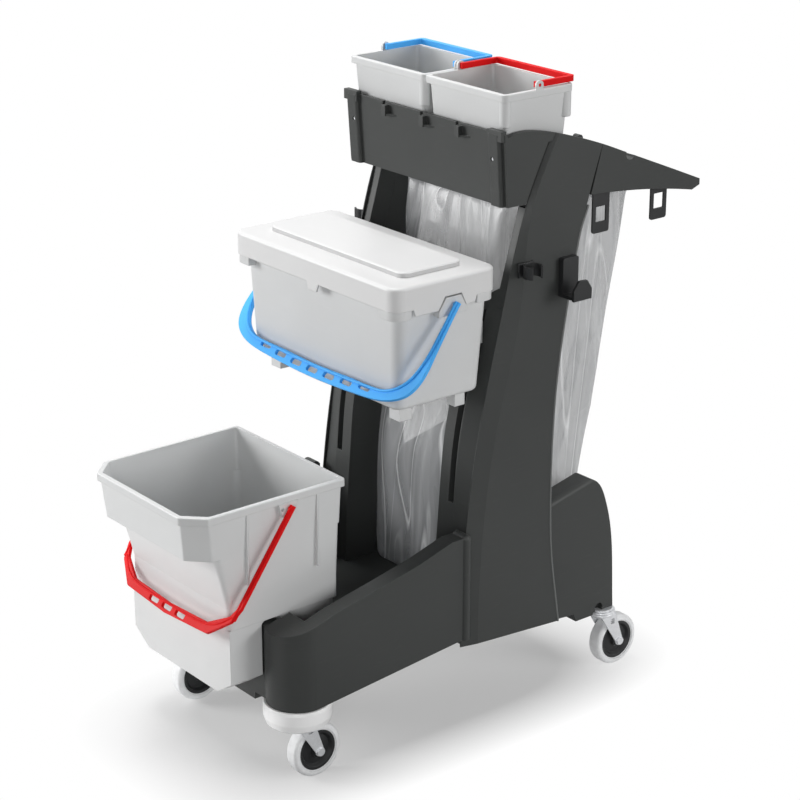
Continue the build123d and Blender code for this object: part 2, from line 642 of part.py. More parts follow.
def large_bucket():
    """Floor bucket whose notched underside straddles the base's front wall."""
    pivot_y, pivot_z = PAIL_PIVOT
    rim = plan_plate(pail_outline(RIM_HALF, 0, RIM_BACK, 35, 6), RIM_Z - RIM_SKIRT, RIM_Z)
    rim = fillet(rim.edges().group_by(Axis.Z)[-1], 2.5)
    bucket = pail_solid(0) + rim + side_plate(polygon(*PAIL_NOTCH), -148, 148)
    for y, low in ((114, 378), (258, 373)):
        bucket += paired(block(149, 157.5, y - 1.5, y + 1.5, low, RIM_Z - RIM_SKIRT))
    boss = polygon((174, 508), (214, 508), (207, 485), (181, 485))
    bucket += paired(side_plate(boss, 150, RIM_HALF + 3))
    bucket -= pail_solid(PAIL_WALL)
    hole = rod_x(PAIL_PIN_R + RUNNING, PAIL_PIN_X - LOOSE, RIM_HALF + 5, pivot_y, pivot_z)
    hole += rod_x(3, RIM_HALF - 2, RIM_HALF + 5, pivot_y - 14, pivot_z)
    return bucket - paired(hole)


def hung_bail(band, slot, places, pin, hang, pivot):
    """Flat bail drawn hanging straight down from its pivot, then swung forward by hang degrees."""
    bail = front_plate(band, -BAIL_DEPTH / 2, BAIL_DEPTH / 2)
    for x, s in places:
        bail -= front_plate(Pos(x, -s) * RectangleRounded(*slot), -BAIL_DEPTH, BAIL_DEPTH)
    bail += paired(pin)
    return Pos(0, *pivot) * Rot(-hang, 0, 0) * bail


def large_bail():
    """Angular red bail with three slots in its grip."""
    inner = PAIL_BAIL_X
    outer = inner + 9
    outside = polygon((outer, 6), (outer, -186), (inner + 1, -213), (122, -250), (0, -257), (-122, -250),
                      (-inner - 1, -213), (-outer, -186), (-outer, 6))
    inside = polygon((inner, 20), (inner, -190), (inner - 8, -206), (112, -232), (0, -237), (-112, -232),
                     (-inner + 8, -206), (-inner, -190), (-inner, 20))
    band = fillet(outside.vertices().filter_by(lambda v: v.Y < -190), 10)
    band -= fillet(inside.vertices().filter_by(lambda v: v.Y < -190), 8)
    places = [(x, PAIL_GRIP) for x in PAIL_SLOTS]
    pin = rod_x(PAIL_PIN_R, PAIL_PIN_X, PAIL_BAIL_X + 1, 0, 0)
    return hung_bail(band, PAIL_SLOT, places, pin, PAIL_HANG, PAIL_PIVOT)


# Mop box
def boss_face(grow):
    """Side view of the pivot boss, or of the lid's cut-out round it when grown."""
    y, z = BOX_PIVOT
    return polygon((y - 34 - grow, z - 60), (y + 26 + grow, z - 60), (y + 26 + grow, z - 8),
                   (y + 14 + grow, z + 15 + grow), (y - 18 - grow, z + 15 + grow), (y - 34 - grow, z - 8))


def box_solid(skin):
    """Tapered outside of the mop box, or its inside when skin is the wall thickness."""
    low = rounded(-208 + skin, 208 - skin, 389 + skin, 573 - skin, 20 - skin)
    high = rounded(-221 + skin, 221 - skin, 381 + skin, 585 - skin, 22 - skin)
    solid = tapered(low, BOX_BOTTOM + skin, high, BOX_RIM + (1 if skin else 0))
    return fillet(solid.edges().group_by(Axis.Z)[0], 10 - skin)


def mop_box():
    """Mop box with corner flanges under the lid, pivot bosses, feet and two rear hooks."""
    y, z = BOX_PIVOT
    box = box_solid(0)
    flange = plan_plate(rounded(-229, 229, 367, 588, 22), 802, LID_SKIRT_Z - LOOSE)
    flange -= block(-186, 186, 300, 700, 700, 900) + block(-300, 300, 403, 545, 700, 900)
    box += flange
    boss = boss_face(0) - Pos(y, z - 50) * Rectangle(120, 66)
    box += paired(side_plate(boss, 218, LID_HALF + 1))
    for middle, half, front, rear in BOX_FEET:
        box += paired(block(middle - half, middle + half, front, rear, BOX_FOOT_Z, BOX_BOTTOM + 6))
    box += paired(block(SLOT_X - 18, SLOT_X + 18, 568, 600, 738, 746))
    box += paired(block(SLOT_X - 18, SLOT_X + 18, 595, 600, 706, 746))
    box -= box_solid(BOX_WALL)
    return box - paired(rod_x(BOX_PIN_R + RUNNING, 215, LID_HALF + 5, y, z))


def mop_box_lid():
    """White lift-off lid with a raised panel, a front tab, deeper sides and cut-outs round the bosses."""
    y0, y1 = LID_SPAN
    lid = plan_plate(rounded(-LID_HALF, LID_HALF, y0, y1, 23), LID_SKIRT_Z, LID_TOP)
    lid = fillet(lid.edges().group_by(Axis.Z)[-1], 6)
    panel = plan_plate(rounded(-190, 190, 415, 546, 16), LID_TOP - 2, LID_TOP + PLATEAU)
    lid += fillet(panel.edges().group_by(Axis.Z)[-1], 3)
    tab = polygon((-12, LID_SKIRT_Z + 1), (22, LID_SKIRT_Z + 1), (17, 804), (-7, 804))
    lid += front_plate(tab, y0, y0 + LID_WALL)
    hollow = rounded(-LID_HALF + LID_WALL, LID_HALF - LID_WALL, y0 + LID_WALL, y1 - LID_WALL, 20)
    lid -= plan_plate(hollow, 790, LID_TOP - LID_WALL)
    lid -= plan_plate(rounded(-184, 184, 421, 540, 10), LID_TOP - LID_WALL - 1, LID_TOP + PLATEAU - LID_WALL)
    lid += paired(side_plate(polygon(*LID_SIDE), LID_HALF - LID_WALL, LID_HALF))
    return lid - paired(side_plate(boss_face(BOSS_GAP), LID_HALF - 10, LID_HALF + 5))


def mop_box_bail():
    """Rounded blue bail that bulges sideways, with seven slots in its bowed grip."""
    outer = [*BOX_BAIL_OUTER, *[(-x, s) for x, s in reversed(BOX_BAIL_OUTER[:-1])]]
    inner = [*BOX_BAIL_INNER, *[(-x, s) for x, s in reversed(BOX_BAIL_INNER[:-1])]]
    band = closed_face([(x, -s) for x, s in outer], [(x, -s) for x, s in reversed(inner)])
    places = [(x, BOX_GRIP - BOX_GRIP_BOW * (x / BOX_SLOTS[0]) ** 2) for x in BOX_SLOTS]
    pin = rod_x(BOX_PIN_R, BOX_BAIL_X - 9, BOX_BAIL_X + 1, 0, 0)
    return hung_bail(band, BOX_SLOT, places, pin, BOX_HANG, BOX_PIVOT)


def box_hanger():
    """Bracket hooked into the post's slot, with an upturned tongue that carries the box."""
    face_y = edge_y(POST_FRONT, HANGER_Z)
    half = SLOT_WIDTH / 2 - LOOSE
    back = face_y + POST_WALL + 15
    hanger = block(SLOT_X - 16, SLOT_X + 16, 588, face_y - 3, HANGER_Z - 4, HANGER_Z + 6)
    hanger += block(SLOT_X - 16, SLOT_X + 16, 588, 593, HANGER_Z - 4, 738)
    tongue = block(SLOT_X - half, SLOT_X + half, face_y - 4, back + 7, HANGER_Z - 4, HANGER_Z + 6)
    tongue += block(SLOT_X - half, SLOT_X + half, back, back + 7, HANGER_Z - 24, HANGER_Z + 6)
    return hanger + tongue


# Small buckets
def tub(centre_x):
    """Tapered small bucket with two hollow corner posts and a pair of ring ears."""
    width, depth = TUB_SIZE
    y = TUB_CENTRE[1]

    def plan(w, d, radius):
        return Pos(centre_x, y) * RectangleRounded(w, d, radius)

    def taper(skin, extra):
        low = plan(182 - 2 * skin, 134 - 2 * skin, 9 - skin)
        high = plan(width - 8 - 2 * skin, depth - 8 - 2 * skin, 9 - skin)
        return tapered(low, TRAY_FLOOR + skin, high, TUB_RIM + extra)

    outline = Pos(centre_x, y) * Rectangle(width, depth)
    outline = fillet(outline.vertices().group_by(Axis.X)[0], 5)
    outline = fillet(outline.vertices().group_by(Axis.X)[-1], 10)
    rim = plan_plate(outline, TUB_RIM - TUB_SKIRT, TUB_RIM)
    rim = fillet(rim.edges().group_by(Axis.Z)[-1], 2)
    bucket = taper(0, 0) + rim
    for end in (-1, 1):
        post_x = centre_x + width / 2 - 10.5
        post_y = y + end * (depth / 2 - 10.5)
        post = post_z(10, post_x, post_y, TUB_POST_Z, TUB_RIM - 1)
        bucket += fillet(post.edges().filter_by(GeomType.CIRCLE).group_by(Axis.Z)[0], 3)
        bucket -= post_z(4, post_x, post_y, TUB_RIM - 30, TUB_RIM + 1)
    for side in (-1, 1):
        ear_x = centre_x + side * (width / 2 - 2.2)
        ear = Pos(y, TUB_PIVOT_Z) * Circle(8) + Pos(y, TUB_PIVOT_Z - 6) * Rectangle(16, 12)
        bucket += side_plate(ear, ear_x - 2, ear_x + 2)
        bucket -= rod_x(TUB_PIN_R + RUNNING, ear_x - 4, ear_x + 4, y, TUB_PIVOT_Z)
    return bucket - taper(TUB_WALL, 5)


def tub_bail(centre_x):
    """Small bail, folded back on to the rear rim."""
    width, depth = TUB_SIZE
    half = width / 2 - 5
    reach = depth / 2 + 7
    band = polygon((half, -TUB_BAIL_TAIL), (half, reach), (-half, reach), (-half, -TUB_BAIL_TAIL))
    band = fillet(band.vertices().group_by(Axis.Y)[-1], 8)
    opening = polygon((half - 7, -20), (half - 7, reach - 10), (7 - half, reach - 10), (7 - half, -20))
    band -= fillet(opening.vertices().group_by(Axis.Y)[-1], 4)
    bail = plan_plate(Pos(centre_x, TUB_CENTRE[1]) * band, TUB_PIVOT_Z - 5, TUB_PIVOT_Z + 5)
    for side in (-1, 1):
        root = centre_x + side * (half - 1)
        bail += rod_x(TUB_PIN_R, root, centre_x + side * (width / 2 - 1), TUB_CENTRE[1], TUB_PIVOT_Z)
    return bail


def tray_screw():
    """Small screw sunk in a tray column."""
    return rod_y(3, COLUMN_X - 4, 609, 617, COLUMN_SCREW_Z)


def write_castors():
    """Four castors, each with its head, fork, axle, hub and tyre."""
    axes = (("front", FRONT_AXIS), ("rear", REAR_AXIS))
    for end, (x, y) in axes:
        for name, side in SIDES:
            label = f"{end}_{name}"
            save(f"castor_head_{label}", castor_head(side * x, y))
            save(f"castor_fork_{label}", castor_fork(side * x, y))
            save(f"castor_axle_{label}", castor_axle(side * x, y))
            save(f"wheel_hub_{label}", castor_hub(side * x, y))
            save(f"wheel_tyre_{label}", castor_tyre(side * x, y))
    save("castor_bolts", *[castor_bolt(side * x, y) for _, (x, y) in axes for _, side in SIDES])


def write_frame():
    """Base, uprights, tray, arms, bag and what is fixed to them."""
    save("base_chassis", base_chassis())
    save("tray", tray())
    save("bag_frame", bag_frame())
    save("bag_clip", bag_clip())
    save("waste_bag", waste_bag())
    for name, side in SIDES:
        save(f"front_bumper_{name}", on_side(side, front_bumper()))
        save(f"upright_post_{name}", on_side(side, upright_post()))
        save(f"upright_cover_{name}", on_side(side, upright_cover()))
        save(f"rear_arm_{name}", on_side(side, rear_arm()))
        save(f"handle_clip_{name}", on_side(side, handle_clip()))
        save(f"accessory_hook_{name}", on_side(side, accessory_hook()))
        save(f"box_hanger_{name}", on_side(side, box_hanger()))
        save(f"hanger_plate_front_{name}", on_side(side, hanger_plate(827)))
        save(f"hanger_plate_rear_{name}", on_side(side, hanger_plate(969)))
    screws = [arm_screw(805, 980), arm_screw(812, 1000)]
    save("arm_screws", *screws, *[mirrored(screw) for screw in screws])
    save("tray_screws", tray_screw(), mirrored(tray_screw()))


def write_buckets():
    """Large bucket, mop box with its lid, and the two small buckets, each with its bail."""
    save("large_bucket", large_bucket())
    save("large_bucket_bail", large_bail())
    save("mop_box", mop_box())
    save("mop_box_lid", mop_box_lid())
    save("mop_box_bail", mop_box_bail())
    for name, side in SIDES:
        save(f"small_bucket_{name}", tub(side * TUB_CENTRE[0]))
        save(f"small_bucket_bail_{name}", tub_bail(side * TUB_CENTRE[0]))


if __name__ == "__main__":
    os.makedirs("parts", exist_ok=True)
    write_castors()
    write_frame()
    write_buckets()
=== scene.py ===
"""Looks of the double mop bucket trolley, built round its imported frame.  Metres, in the frame's own axes."""
import json
import math

import bpy
import numpy as np
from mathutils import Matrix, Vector


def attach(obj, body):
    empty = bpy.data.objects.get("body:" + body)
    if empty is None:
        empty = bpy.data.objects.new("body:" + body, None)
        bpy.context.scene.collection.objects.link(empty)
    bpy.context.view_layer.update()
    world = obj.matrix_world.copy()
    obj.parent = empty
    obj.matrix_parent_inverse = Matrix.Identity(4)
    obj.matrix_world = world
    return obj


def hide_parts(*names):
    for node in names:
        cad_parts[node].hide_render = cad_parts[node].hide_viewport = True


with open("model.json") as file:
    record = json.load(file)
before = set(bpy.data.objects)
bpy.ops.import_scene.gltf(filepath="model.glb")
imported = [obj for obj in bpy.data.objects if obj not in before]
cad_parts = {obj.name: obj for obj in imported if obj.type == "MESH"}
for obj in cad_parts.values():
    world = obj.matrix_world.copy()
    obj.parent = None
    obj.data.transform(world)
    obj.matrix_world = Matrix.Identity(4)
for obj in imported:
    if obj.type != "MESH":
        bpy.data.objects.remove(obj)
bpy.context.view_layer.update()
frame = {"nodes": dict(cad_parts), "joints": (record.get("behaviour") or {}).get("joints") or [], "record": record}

ROOT = "trolley"
SIDES = (("left", -1.0), ("right", 1.0))
TAU = 2 * math.pi

# Bars that the bag hangs on: height, radius, and the plan of their middle lines, a superellipse
BAR_Z = 0.955
BAR_R = 0.006
BAR_HALF = 0.184
BAR_SPAN = (0.1525, 0.4405)
BAR_POWER = 60.0

# Bag: height, half width in front, half width behind, front and rear, as the hanging film has them
BAG_LEVELS = ((0.207, 0.120, 0.120, 0.056, 0.326), (0.225, 0.124, 0.124, 0.053, 0.331),
              (0.300, 0.1255, 0.128, 0.052, 0.345), (0.455, 0.1255, 0.136, 0.054, 0.367),
              (0.625, 0.124, 0.145, 0.088, 0.389), (0.790, 0.125, 0.155, 0.122, 0.408),
              (0.870, 0.131, 0.159, 0.133, 0.414), (0.918, 0.135, 0.162, 0.143, 0.418),
              (0.940, 0.154, 0.170, 0.1555, 0.428), (0.950, 0.1765, 0.1768, 0.1593, 0.4337))
BAG_POWER = 15.0
SQUARING = 30.0             # added to the power of the bag's plan at the bars
SQUARING_RISE = 8           # how late on the way up that sets in
BAG_COLUMNS = 460
WALL_ROWS = 160
FLOOR_ROWS = 16
FLOOR_REACH = (0.01, 0.96)  # first and last row of the floor, as shares of the foot
FILM_GAP = 0.0009
LAP_ROWS = 18
LAP_UNDER = 0.35            # radians below a bar's inner side where the film meets it
CUFF = 0.022
CUFF_ROWS = 10
CUFF_START = 0.08           # first row of the cuff, as a share of its drop
HEM_WAVES = ((9, 0.004), (23, 0.003))   # how many and how deep

# Folds of the film: how many and how deep, in units of FOLD_UNIT; how they run; and heights from the foot to
# the bars, with the share of the folds at each
FOLDS = ((5, 2.6), (8, 2.2), (13, 1.4), (22, 0.45), (37, 0.12))
FOLD_UNIT = 0.0012
FOLD_MIDDLE = 0.45
FOLD_SHARPNESS = 0.9
FOLD_SLANT = 2.4
FOLD_SWAY = (0.4, 1.4)
FOLD_SWAY_RISE = 5.0
FOLD_EASE = ((0.0, 0.12, 0.55, 0.85, 1.0), (0.5, 1.0, 1.0, 0.55, 0.05))
FOLD_SEED = 7

# Beads on the bails: the bail's inner edge seen square on, sideways and down from the pivot; the angle that
# it is swung forward from hanging; the bead's width, height and edge radius
BLUE_EDGE = ((0.2372, -0.004), (0.241, 0.050), (0.243, 0.108), (0.2305, 0.1535), (0.1945, 0.181),
             (0.1305, 0.187), (0.0, 0.1895))
BLUE_HANG = math.radians(39.3)
BLUE_BEAD = (0.0048, 0.0125, 0.002)
RED_EDGE = ((0.1668, 0.0), (0.1668, 0.188), (0.160, 0.2068), (0.113, 0.235), (0.0, 0.240))
RED_HANG = math.radians(35.5)
RED_BEAD = (0.0045, 0.009, 0.002)
BEAD_ROWS = 161

# Rolled lip along each cover's rear edge, seen from the side: along and up; its width, height and edge radius
COVER_LIP = ((0.2205, 0.143), (0.1955, 0.335), (0.2005, 0.602), (0.2415, 0.852), (0.2665, 0.930))
LIP_X = 0.2128
LIP_BAR = (0.0044, 0.0112, 0.0020)
LIP_ROWS = 121
CORNER_STEPS = 5            # points on each rounded edge of a bead or a lip

# Moulded plastics by slot: the dark, light and worn colours are 8-bit ones, the worn one also a painted highlight
# on edges; grain is a scale and a depth, radius is that of soft edges, wear says how far edges are made paler, as
# rubbing and as a painted highlight, and the panel shade, painted as shade on the sides of the lid's raised panel,
# is a low level, a high one and a grey
PANEL_SIDE_SHADE = (0.8648, 0.8715, 0.52)
PLASTICS = {
    "dark_plastic": dict(
        name="charcoal_moulding", dark=(49, 51, 50), light=(58, 60, 59), worn_and_highlight=(92, 93, 92),
        roughness=0.5, grain=(1300, 0.16), radius=0.0016, wear_and_highlight=0.4, shine=0.35),
    "pale_plastic": dict(
        name="bucket_grey", dark=(203, 204, 204), light=(215, 216, 216), worn_and_highlight=(232, 232, 232),
        roughness=0.36, grain=(900, 0.06), radius=0.0018, wear_and_highlight=0.55, shine=0.5),
    "white_plastic": dict(
        name="lid_white", dark=(216, 216, 216), light=(225, 225, 225), worn_and_highlight=(238, 238, 238),
        roughness=0.34, grain=(900, 0.05), radius=0.0022, wear_and_highlight=0.55, shine=0.25, panel_shade=PANEL_SIDE_SHADE),
    "blue_plastic": dict(
        name="bail_blue", dark=(66, 168, 248), light=(86, 184, 255), worn_and_highlight=(150, 210, 252),
        roughness=0.46, grain=(1100, 0.05), radius=0.0016, wear_and_highlight=0.5, shine=0.2),
    "red_plastic": dict(
        name="bail_red", dark=(212, 12, 16), light=(230, 18, 22), worn_and_highlight=(238, 58, 56),
        roughness=0.5, grain=(1100, 0.05), radius=0.0014, wear_and_highlight=0.1, shine=0.1),
    "black_plastic": dict(
        name="black_moulding", dark=(30, 31, 32), light=(40, 41, 42), worn_and_highlight=(74, 74, 74),
        roughness=0.42, grain=(1400, 0.12), radius=0.0012, wear_and_highlight=0.3, shine=0.4),
    # Lighter copy of lid_white for the front bumpers, which sit in shade under the base: painted light.
    "bumper_painted_light": dict(
        name="bumper_white_painted_light", dark=(246, 246, 246), light=(252, 252, 252), worn_and_highlight=(255, 255, 255),
        roughness=0.34, grain=(900, 0.05), radius=0.0022, wear_and_highlight=0.55, shine=0.5),
    # Lighter copy of the charcoal for the covers' rear lips: a painted highlight along those edges.
    "lip_painted_highlight": dict(
        name="lip_charcoal_painted_highlight", dark=(92, 94, 93), light=(108, 110, 109), worn_and_highlight=(150, 151, 150),
        roughness=0.42, grain=(1300, 0.1), radius=0.0012, wear_and_highlight=0.5, shine=0.5),
}
# The front bumpers take that lighter copy of the white: painted light for the shade they sit in.
NODE_FINISH = {f"front_bumper_{side}": "bumper_painted_light" for side, sign in SIDES}

# Ramps, each with two stops of a value and its share: what counts as an edge, by how far the normals differ;
# the shade that the mop box throws on the front of the film, by depth and by height
EDGE_MASK = ((0.01, 0.0), (0.25, 1.0))
SHADE_DEPTH = ((0.145, 1.0), (0.18, 0.0))
SHADE_HEIGHT = ((0.50, 0.1), (0.72, 0.5))

# Studio floor: its tone; the share of light that it throws back, by distance from its middle; the direction
# in which that is less, with the share left there by the cosine of the angle to it
FLOOR_HALF = 12.0
FLOOR_Z = -0.0005
FLOOR_TONE = 0.62
FLOOR_DRIFT = 0.02
FLOOR_BOUNCE = ((0.8, 0.92), (2.4, 0.35))
BOUNCE_REACH = 4.0
FLOOR_DARK = (0.783, -0.622)
DARK_SECTOR = ((0.75, 1.0), (0.96, 0.3))

# Shadow under the object, painted in part: a superellipse's half sizes, middle and power, inside which the floor
# is darker and shows the rendered shadow, and how white the floor is by the distance from that middle, in shares
# of the half sizes
SHADOW_HALF = (0.245, 0.43)
SHADOW_MIDDLE = -0.024
SHADOW_POWER = 4
SHADOW_EDGE = ((0.8, 0.33), (1.32, 1.0))
SHADOW_REACH = 2.0

# Surroundings; lamps with their places, aims, sizes and powers; and the photograph's camera, with its angles
# in degrees and its lens and sensor in millimetres
AMBIENT = 0.08
LAMPS = (("key", (-3.4, -3.6, 1.9), (0, 0, 0.5), 2.0, 190.0),
         ("top", (-0.8, 0.2, 4.3), (0, 0, 0.4), 1.6, 124.0),
         ("side", (5.0, 3.2, 2.2), (0, 0, 0.4), 2.6, 142.0),
         ("fill", (3.9, -3.15, 1.5), (0, 0, 0.4), 1.6, 66.0))
EYE = (2.9633, -2.3547, 1.9781)
EYE_ANGLES = (51.29, 20.45)
LENS = 101.2
SENSOR = 36.0


def srgb(red, green, blue):
    """Linear colour of an 8-bit one."""
    value = np.array([red, green, blue]) / 255
    linear = np.where(value <= 0.04045, value / 12.92, ((value + 0.055) / 1.055) ** 2.4)
    return (*linear.tolist(), 1.0)


def grey(value):
    """A linear grey."""
    return (value, value, value, 1.0)


class Wire:
    """A shader socket: operators on values add Math nodes, and node() adds a node of any kind."""

    def __init__(self, tree, socket=None):
        self.tree = tree
        self.socket = socket

    def feed(self, target, inputs):
        """Give a node's sockets their values or links."""
        for name, value in inputs.items():
            if isinstance(value, Wire):
                self.tree.links.new(value.socket, target.inputs[name])
            else:
                target.inputs[name].default_value = value

    def node(self, kind, settings=None, inputs=None, output=0):
        """A node of that kind: its settings first, then its sockets; one output comes back."""
        made = self.tree.nodes.new("ShaderNode" + kind)
        for name, value in (settings or {}).items():
            setattr(made, name, value)
        self.feed(made, inputs or {})
        return Wire(self.tree, made.outputs[output])

    def math(self, operation, first, second, clamp=False):
        """One Math node."""
        return self.node("Math", {"operation": operation, "use_clamp": clamp}, {0: first, 1: second})

    def __add__(self, other):
        return self.math("ADD", self, other)

    def __sub__(self, other):
        return self.math("SUBTRACT", self, other)

    def __rsub__(self, other):
        return self.math("SUBTRACT", other, self)

    def __mul__(self, other):
        return self.math("MULTIPLY", self, other)

    def __truediv__(self, other):
        return self.math("DIVIDE", self, other)

    def __pow__(self, other):
        return self.math("POWER", self, other)

    __radd__ = __add__

    def clamped(self):
        """The value kept between 0 and 1."""
        return self.math("ADD", self, 0.0, clamp=True)

    def zigzag(self, count):
        """The value times count, folded into a line that goes from 0 to 1 and back."""
        return self.math("PINGPONG", self * count, 0.5) * 2

    def ramp(self, *stops):
        """Grey read from the value, between two stops of a value and its shade."""
        read = self.node("ValToRGB", {}, {"Fac": self})
        for element, (value, shade) in zip(read.socket.node.color_ramp.elements, stops):
            element.position = value
            element.color = grey(shade)
        return read

    def long_ramp(self, reach, *stops):
        """A ramp for values from 0 to reach; a ramp alone only takes them up to 1."""
        return (self / reach).ramp(*((value / reach, shade) for value, shade in stops))

    def blend(self, first, second):
        """Two colours mixed by this value."""
        return self.node("Mix", {"data_type": "RGBA"}, {0: self, 6: first, 7: second}, 2)

    def axis(self, name):
        """One axis of these coordinates."""
        return self.node("SeparateXYZ", {}, {0: self}, name)

    def stretched(self, x, y, z):
        """Coordinates scaled along each axis."""
        return self.node("Mapping", {}, {"Vector": self, "Scale": (x, y, z)})

    def noise(self, scale=1.0, detail=2.0, roughness=0.5, distortion=0.0):
        """Noise at these coordinates."""
        return self.node("TexNoise", {}, {"Vector": self, "Scale": scale, "Detail": detail,
                                          "Roughness": roughness, "Distortion": distortion})

    def cells(self, scale):
        """Distance to the nearest of scattered points at these coordinates."""
        return self.node("TexVoronoi", {}, {"Vector": self, "Scale": scale})

    def bumped(self, strength, distance, normal=None):
        """This height as a bump, on the given normal or the surface's own."""
        inputs = {"Strength": strength, "Distance": distance, "Height": self}
        if normal is not None:
            inputs["Normal"] = normal
        return self.node("Bump", {}, inputs)


def started(name):
    """A new material, a first wire in its tree, the object's coordinates, and its shader."""
    material = bpy.data.materials.new(name)
    material.use_nodes = True
    wire = Wire(material.node_tree)
    return material, wire, wire.node("TexCoord", output="Object"), material.node_tree.nodes["Principled BSDF"]


def softened(wire, radius):
    """Normals rounded over sharp edges, and a mask that is 1 on those edges."""
    rounded = wire.node("Bevel", {"samples": 4}, {"Radius": radius})
    true = wire.node("NewGeometry", output="Normal")
    alike = wire.node("VectorMath", {"operation": "DOT_PRODUCT"}, {0: rounded, 1: true}, "Value")
    return rounded, (1 - alike).ramp(*EDGE_MASK)


def moulding(name, dark, light, worn_and_highlight, roughness, grain, radius, wear_and_highlight, shine, panel_shade=None):
    """Moulded plastic: slow drift of tone, fine grain, streaky scuffs that shine, edges made paler, partly as
    rubbed wear and partly as a painted highlight.

    Grain is a scale and a depth.  The panel shade is a low and a high level and the grey painted between them
    as shade on the sides of the lid's raised panel."""
    material, wire, place, shader = started(name)
    grain_scale, grain_depth = grain
    rounded, edge = softened(wire, radius)
    drift = place.noise(scale=7, detail=3, roughness=0.55)
    speck = place.noise(scale=grain_scale, detail=2, roughness=0.6)
    streak = place.stretched(14, 14, 120).noise(scale=1.6, detail=4, roughness=0.65, distortion=0.4)
    scuff = streak.ramp((0.58, 0.0), (0.74, 1.0))
    # Edges made paler: partly rubbed wear, partly a painted highlight.
    rub_and_highlight = edge * place.noise(scale=45, detail=3, roughness=0.6).ramp((0.35, 0.0), (0.75, 1.0))
    colour = (drift * 0.75 + speck * 0.25).blend(srgb(*dark), srgb(*light))
    colour = (rub_and_highlight * wear_and_highlight + scuff * 0.06).clamped().blend(colour, srgb(*worn_and_highlight))
    # Painted shade: the sides of the lid's raised panel are turned grey between two levels.
    if panel_shade:
        low, high, tone = panel_shade
        level = place.axis("Z")
        between = wire.math("GREATER_THAN", level, low) * wire.math("LESS_THAN", level, high)
        colour = between.blend(colour, grey(tone))
    uneven = roughness + (drift - 0.5) * 0.16 + (speck - 0.5) * 0.12 - scuff * 0.05
    wire.feed(shader, {"Base Color": colour, "Specular IOR Level": shine, "Roughness": uneven.clamped(),
                       "Normal": speck.bumped(strength=grain_depth, distance=0.0006, normal=rounded)})
    return material


def zinc_plate(name):
    """Bright zinc plating: faint spangle, fine rolling lines, dull patches."""
    material, wire, place, shader = started(name)
    rounded, edge = softened(wire, radius=0.0008)
    spangle = place.cells(scale=420)
    lines = place.stretched(60, 60, 900).noise(scale=3, detail=3, roughness=0.6)
    dull = place.noise(scale=60, detail=4, roughness=0.6).ramp((0.45, 0.0), (0.75, 1.0))
    colour = (spangle * 0.35 + lines * 0.4).blend(srgb(214, 216, 219), srgb(242, 243, 245))
    colour = (dull * 0.2).blend(colour, srgb(176, 176, 174))
    # Edges made paler: partly wear, partly a painted highlight.
    colour = (edge * 0.4).blend(colour, srgb(246, 247, 248))
    wire.feed(shader, {"Base Color": colour, "Metallic": 0.45,
                       "Roughness": (0.3 + lines * 0.14 + dull * 0.16).clamped(),
                       "Normal": lines.bumped(strength=0.08, distance=0.0004, normal=rounded)})
    return material


def tread_rubber(name):
    """Grey rubber tread: powdery grain, darker patches of grime."""
    material, wire, place, shader = started(name)
    rounded, edge = softened(wire, radius=0.0015)
    powder = place.noise(scale=1500, detail=2, roughness=0.6)
    drift = place.noise(scale=22, detail=2)
    grime = place.noise(scale=70, detail=4, roughness=0.65).ramp((0.42, 0.0), (0.78, 1.0))
    colour = (powder * 0.5 + drift * 0.5).blend(srgb(230, 231, 232), srgb(244, 245, 246))
    colour = (grime * 0.2).blend(colour, srgb(168, 167, 165))
    colour = (edge * 0.15).blend(colour, srgb(214, 214, 214))
    wire.feed(shader, {"Base Color": colour, "Roughness": (0.55 + grime * 0.18 + powder * 0.1).clamped(),
                       "Normal": powder.bumped(strength=0.15, distance=0.0005, normal=rounded)})
    return material


def clear_film(name):
    """Clear bag film: a grey veil in tall nested loops, the level lines of a stretched noise, whose edges turn
    white and dense, partly as the film's milky creases and partly as painted highlights; the front is darker
    where the mop box shades it."""
    material, wire, place, shader = started(name)
    tall = place.stretched(6.5, 9, 0.95).noise(detail=1.3, roughness=0.4, distortion=1.5)
    fine = place.stretched(13, 18, 1.5).noise(detail=1.2, roughness=0.4, distortion=1.0)
    haze = place.stretched(6, 6, 1.8).noise(detail=2, roughness=0.4, distortion=0.8)
    loops = tall.zigzag(count=6)
    # White lines along the loops: partly the film's milky creases, partly painted highlights.
    crease_highlight = loops.ramp((0.0, 1.0), (0.16, 0.0))
    wrinkle_highlight = fine.zigzag(count=4).ramp((0.0, 1.0), (0.2, 0.0))
    veil = haze.ramp((0.36, 0.0), (0.66, 1.0))
    milk_and_highlight = (crease_highlight * 0.6 + wrinkle_highlight * 0.2 + loops * 0.2 + veil * 0.24).clamped()
    shade = place.axis("Y").ramp(*SHADE_DEPTH) * place.axis("Z").ramp(*SHADE_HEIGHT)
    colour = milk_and_highlight.blend(srgb(156, 158, 160), srgb(250, 251, 252))
    colour = shade.blend(colour, srgb(96, 98, 100))
    wire.feed(shader, {"Base Color": colour, "IOR": 1.5, "Alpha": (0.46 + milk_and_highlight * 0.5).clamped(),
                       "Roughness": (0.22 + veil * 0.12).clamped(),
                       "Normal": (loops * 0.4 + fine * 0.3).bumped(strength=0.25, distance=0.02)})
    return material


FINISHES = {slot: moulding(**look) for slot, look in PLASTICS.items()}
FINISHES["grey_rubber"] = tread_rubber("tread_grey")
FINISHES["zinc_steel"] = zinc_plate("zinc_plate")
FINISHES["clear_film"] = clear_film("clear_film")


def dressed(thing, finish):
    """Put a finish on an object."""
    thing.data.materials.clear()
    thing.data.materials.append(FINISHES[finish])
    return thing


def dress_nodes():
    """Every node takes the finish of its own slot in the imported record, or the one in NODE_FINISH."""
    for part in frame["record"]["subparts"]:
        node = part["node"]
        dressed(frame["nodes"][node], NODE_FINISH.get(node, part["material_slot"]))


